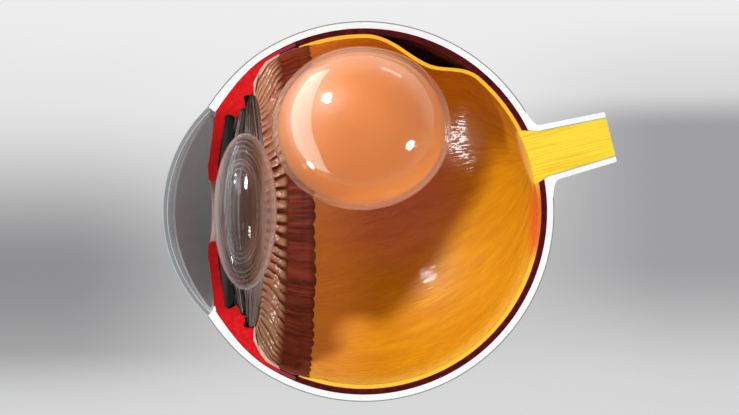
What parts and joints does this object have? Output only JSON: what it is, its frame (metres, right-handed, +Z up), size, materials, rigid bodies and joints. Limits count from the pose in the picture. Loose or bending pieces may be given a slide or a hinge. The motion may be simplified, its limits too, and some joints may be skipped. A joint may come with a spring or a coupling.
{
  "type": "sectioned eye model with detached retina",
  "caption": "Half-section teaching model of an eye: detached retina, gas bubble pressing on it, lens, iris, clear cornea and a nerve stump, on a threaded pad at the back.",
  "frame": {"origin": "centre of the flat mounting pad on the back of the globe", "axes": "+Y out of the mounting pad, away from the cut face; +X back along the eye's optical axis towards the nerve; +Z up"},
  "size_m": [0.1402, 0.0926, 0.1174],
  "materials": {
    "white_shell": "satin white paint",
    "brass_insert": "machined",
    "clear_cornea": "clear gloss",
    "maroon_lining": "satin paint",
    "red_muscle": "satin paint",
    "iris_red": "satin paint",
    "dark_pigment": "matte paint",
    "ridge_tan": "wet gloss",
    "band_brown": "satin paint",
    "fibre_grey": "clear grey",
    "retina_orange": "wet gloss, fine streaks",
    "nerve_yellow": "fine fibres",
    "clear_stem": "clear",
    "lens_clear": "clear grey, layered",
    "bubble_amber": "clear amber gloss"
  },
  "bodies": {
    "sclera": {"sclera_shell": "white_shell", "stand_insert_front": "brass_insert", "stand_insert_rear": "brass_insert", "cornea": "clear_cornea"},
    "liner": {"choroid_lining": "maroon_lining", "ciliary_body": "red_muscle", "iris": "iris_red", "iris_back_layer": "dark_pigment", "ciliary_processes": "ridge_tan", "pars_plana": "band_brown", "zonule_fibres_front": "fibre_grey", "zonule_fibres_rear": "fibre_grey", "retina": "retina_orange", "optic_nerve": "nerve_yellow", "bubble_stem": "clear_stem"},
    "lens": {"lens_capsule_near": "lens_clear", "lens_capsule_far": "lens_clear", "lens_cortex_near": "lens_clear", "lens_cortex_far": "lens_clear", "lens_nucleus": "lens_clear"},
    "bubble": {"bubble_near_half": "bubble_amber", "bubble_far_half": "bubble_amber"}
  },
  "joints": [
    {"name": "liner_pull", "type": "slide", "parent": "sclera", "child": "liner", "axis": [0, -1, 0], "range_m": [0, 0.065]},
    {"name": "lens_pull", "type": "slide", "parent": "liner", "child": "lens", "axis": [0, -1, 0], "range_m": [0, 0.03]},
    {"name": "bubble_pull", "type": "slide", "parent": "liner", "child": "bubble", "axis": [0, -1, 0], "range_m": [0, 0.035]}
  ]
}
